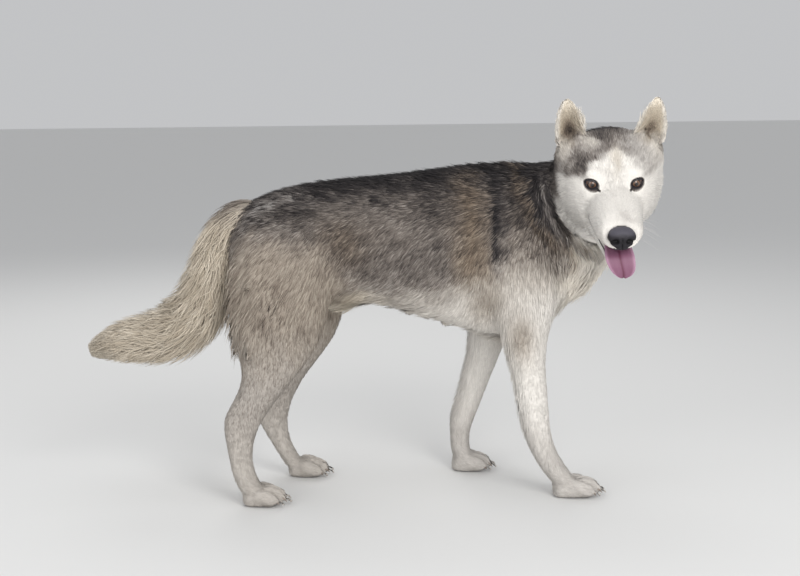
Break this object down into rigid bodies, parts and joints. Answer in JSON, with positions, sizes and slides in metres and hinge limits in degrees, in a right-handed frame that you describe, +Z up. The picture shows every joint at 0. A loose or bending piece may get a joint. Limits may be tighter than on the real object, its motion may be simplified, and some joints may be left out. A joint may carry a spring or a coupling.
{
  "type": "standing dog figure",
  "caption": "Life-size museum-like model of a Siberian husky standing in mid-stride, head turned to its right, tongue out, brush tail held low behind.",
  "frame": {"origin": "centre of the bounding box at floor level, under the belly", "axes": "+X forward towards the chest, +Y to the dog's left, +Z up; the paws stand on z = 0"},
  "size_m": [0.9458, 0.3214, 0.6533],
  "materials": {
    "coat_face": "short dense white fur with grey brows",
    "coat_neck": "thick grizzled fur",
    "coat_back": "dense grizzled grey fur, black along the back",
    "coat_tail": "long cream fur",
    "coat_leg": "short white fur, dark claws",
    "coat_ear": "short cream fur",
    "eye": "wet, glossy brown",
    "nose_leather": "fine-grained black leather",
    "tongue_pink": "moist, soft sheen"
  },
  "bodies": {
    "root": {"head": "coat_face", "neck": "coat_neck", "torso": "coat_back", "tail": "coat_tail", "foreleg_right": "coat_leg", "foreleg_left": "coat_leg", "hindleg_right": "coat_leg", "hindleg_left": "coat_leg", "ear_right": "coat_ear", "ear_left": "coat_ear", "eye_right": "eye", "eye_left": "eye", "nose": "nose_leather", "tongue": "tongue_pink"}
  },
  "joints": []
}
